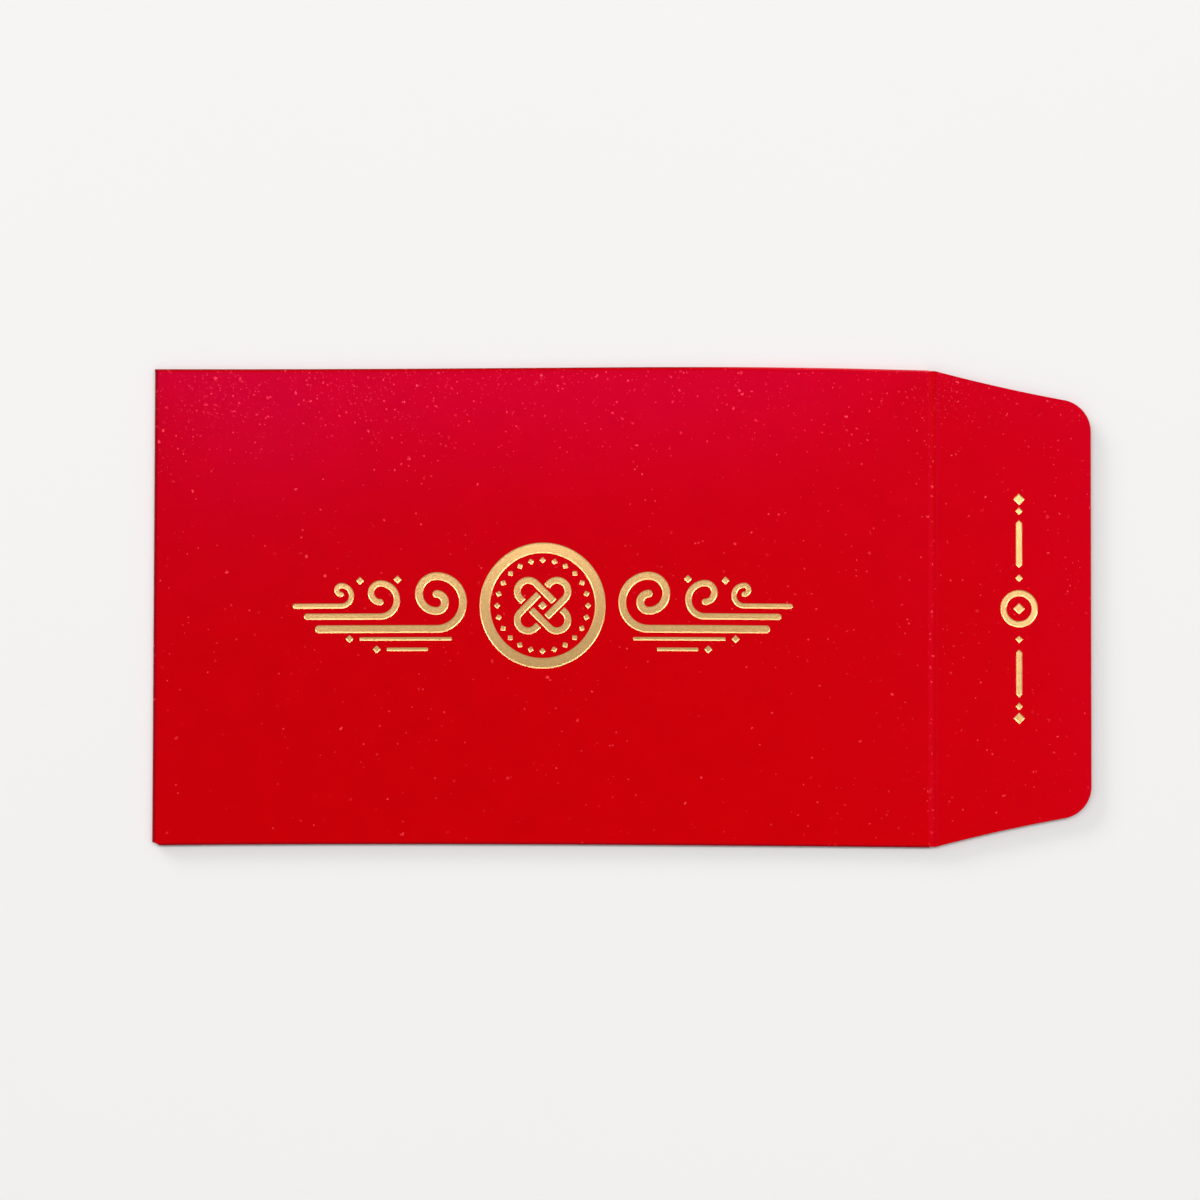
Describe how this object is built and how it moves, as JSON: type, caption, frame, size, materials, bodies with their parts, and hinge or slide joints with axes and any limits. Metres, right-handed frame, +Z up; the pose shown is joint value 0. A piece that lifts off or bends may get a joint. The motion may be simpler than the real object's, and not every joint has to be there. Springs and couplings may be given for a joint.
{
  "type": "red paper gift money envelope",
  "caption": "Flat red card envelope with folded and glued seams, an open closing flap with rounded corners on one short side, and a stamped gold foil ornament.",
  "frame": {"origin": "middle of the envelope with its flap open, on the plane of the table it lies on", "axes": "+X along the envelope towards the closing flap, +Y across it towards the fold of the back panel, +Z up out of the printed face"},
  "size_m": [0.1984, 0.101, 0.0019],
  "materials": {
    "red_card": "matte",
    "gold_foil": "satin",
    "paper_glue": "satin"
  },
  "bodies": {
    "pocket": {"front_panel": "red_card", "back_panel": "red_card", "back_fold": "red_card", "seam_fold": "red_card", "seam_tab": "red_card", "bottom_fold": "red_card", "bottom_tab": "red_card", "flap_crease": "red_card", "seam_glue": "paper_glue", "bottom_glue": "paper_glue", "foil_ring": "gold_foil", "foil_ring_lozenges": "gold_foil", "foil_knot": "gold_foil", "foil_left_cloud_large": "gold_foil", "foil_left_cloud_medium": "gold_foil", "foil_left_cloud_small": "gold_foil", "foil_right_cloud_large": "gold_foil", "foil_right_cloud_medium": "gold_foil", "foil_right_cloud_small": "gold_foil", "foil_left_lines": "gold_foil", "foil_right_lines": "gold_foil"},
    "flap": {"closing_flap": "red_card", "foil_flap_ring": "gold_foil", "foil_flap_bars": "gold_foil", "foil_flap_lozenges": "gold_foil"}
  },
  "joints": [
    {"name": "flap_fold", "type": "hinge", "parent": "pocket", "child": "flap", "pos_m": [0.0658, 0, 0.0009], "axis": [0, 1, 0], "range_deg": [-30, 180], "deforming": ["flap_crease"]}
  ]
}
